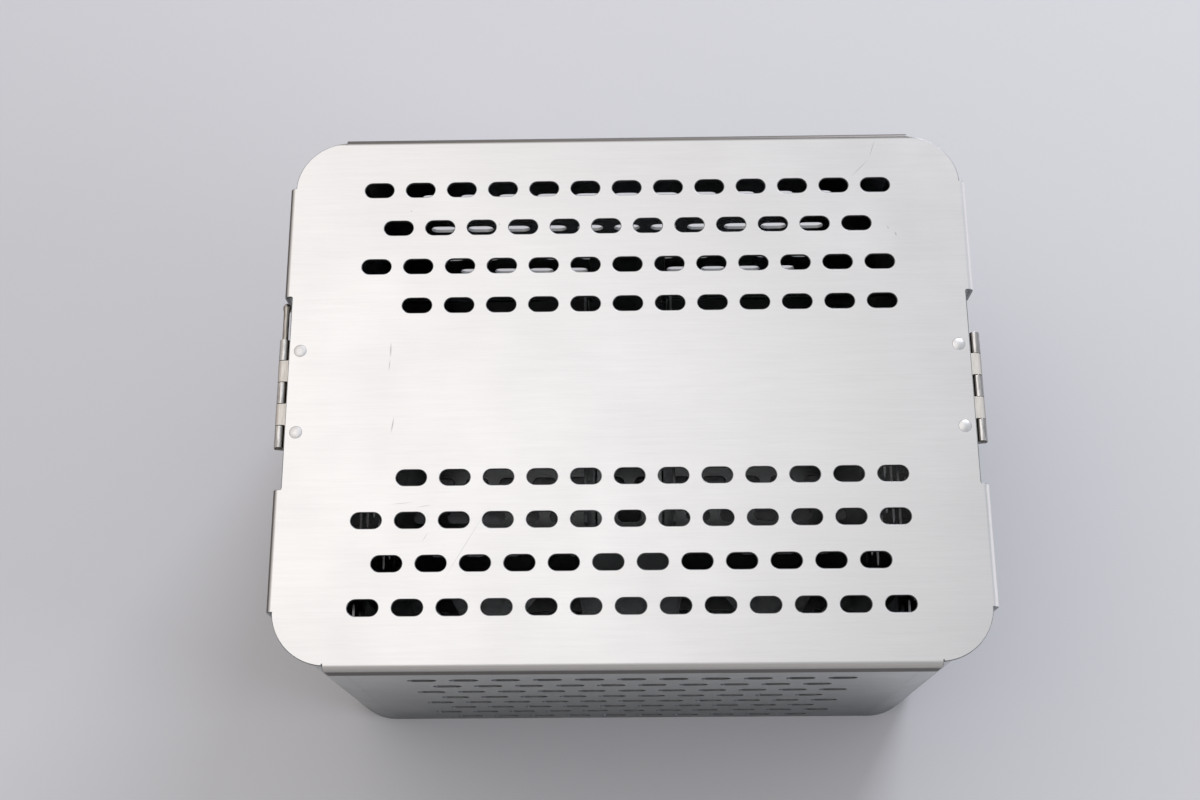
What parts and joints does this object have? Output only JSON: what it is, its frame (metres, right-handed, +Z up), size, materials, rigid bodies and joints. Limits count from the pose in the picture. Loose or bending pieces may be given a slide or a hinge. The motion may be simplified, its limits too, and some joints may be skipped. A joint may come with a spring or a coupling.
{
  "type": "sterilization container",
  "caption": "Box of perforated sheet metal with a lift-off lid, end latches, folding handles and an inner instrument rack.",
  "frame": {"origin": "on the floor under the middle of the container", "axes": "+X to the right along the long side, +Y to the back, +Z up"},
  "size_m": [0.3314, 0.2478, 0.1995],
  "materials": {
    "aluminium_lid": "brushed, satin anodised",
    "aluminium_wall": "satin anodised",
    "aluminium_rack": "satin",
    "steel_leaf": "matte stainless",
    "steel_latch": "polished stainless",
    "steel_pin": "drawn wire",
    "steel_bracket": "brushed stainless",
    "steel_handle": "polished stainless wire",
    "aluminium_rivet": "satin"
  },
  "bodies": {
    "base": {"base_floor": "aluminium_wall", "base_front_wall": "aluminium_wall", "base_back_wall": "aluminium_wall", "base_left_end": "aluminium_wall", "base_right_end": "aluminium_wall", "left_end_bracket": "steel_bracket", "right_end_bracket": "steel_bracket", "left_bracket_rivets": "aluminium_rivet", "right_bracket_rivets": "aluminium_rivet", "rack_right_upright": "aluminium_rack", "rack_left_upright": "aluminium_rack", "rack_right_partition": "aluminium_rack", "rack_left_partition": "aluminium_rack", "rack_back_plate": "aluminium_rack", "rack_front_plate": "aluminium_rack", "rack_rivets": "aluminium_rivet"},
    "lid": {"lid_panel": "aluminium_lid", "right_hinge_leaf": "steel_leaf", "left_hinge_leaf": "steel_leaf", "right_hinge_pin": "steel_pin", "left_hinge_pin": "steel_pin", "lid_rivets": "aluminium_rivet"},
    "right_latch": {"right_latch": "steel_latch"},
    "left_latch": {"left_latch": "steel_latch"},
    "right_handle": {"right_handle": "steel_handle"},
    "left_handle": {"left_handle": "steel_handle"}
  },
  "joints": [
    {"name": "lid_lift", "type": "slide", "parent": "base", "child": "lid", "axis": [0, 0, 1], "range_m": [0, 0.25]},
    {"name": "right_latch_hinge", "type": "hinge", "parent": "lid", "child": "right_latch", "pos_m": [0.1549, 0, 0.1957], "axis": [0, -1, 0], "range_deg": [-6, 110]},
    {"name": "left_latch_hinge", "type": "hinge", "parent": "lid", "child": "left_latch", "pos_m": [-0.1549, 0, 0.1957], "axis": [0, 1, 0], "range_deg": [-6, 110]},
    {"name": "right_handle_hinge", "type": "hinge", "parent": "base", "child": "right_handle", "pos_m": [0.15615, 0, 0.124], "axis": [0, -1, 0], "range_deg": [0, 90]},
    {"name": "left_handle_hinge", "type": "hinge", "parent": "base", "child": "left_handle", "pos_m": [-0.15615, 0, 0.124], "axis": [0, 1, 0], "range_deg": [0, 90]}
  ]
}
